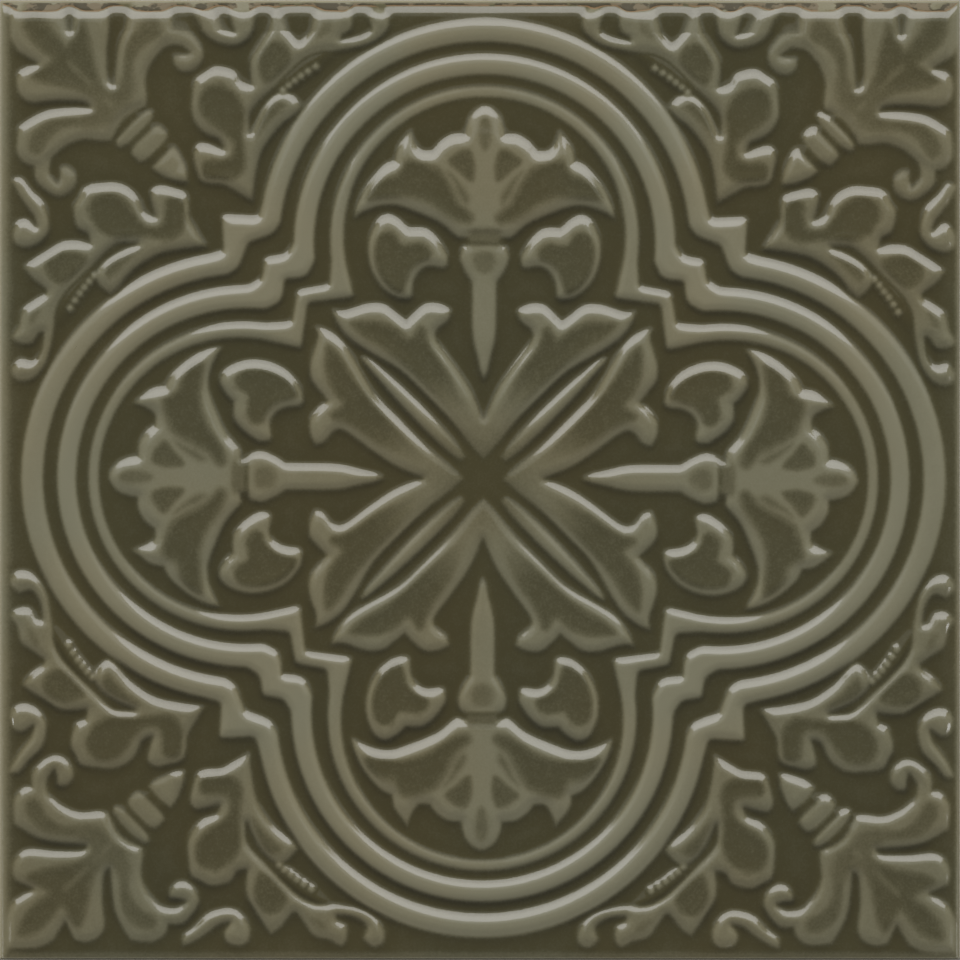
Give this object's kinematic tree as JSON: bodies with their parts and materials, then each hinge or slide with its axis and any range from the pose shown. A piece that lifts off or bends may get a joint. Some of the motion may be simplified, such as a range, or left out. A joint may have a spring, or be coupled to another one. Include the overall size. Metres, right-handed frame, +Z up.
{
  "type": "decorative relief tile",
  "caption": "Square pressed-relief ceramic tile, olive glaze, with nested quatrefoil mouldings round a leaf and palmette cross and scrolled acanthus sprays in the corners.",
  "frame": {"origin": "centre of the flat back, on the surface the tile lies on", "axes": "+Z up out of the glazed face; X and Y along the tile's sides"},
  "size_m": [0.15, 0.15, 0.01],
  "materials": {
    "glaze": "glossy"
  },
  "bodies": {
    "root": {"relief_tile": "glaze"}
  },
  "joints": []
}
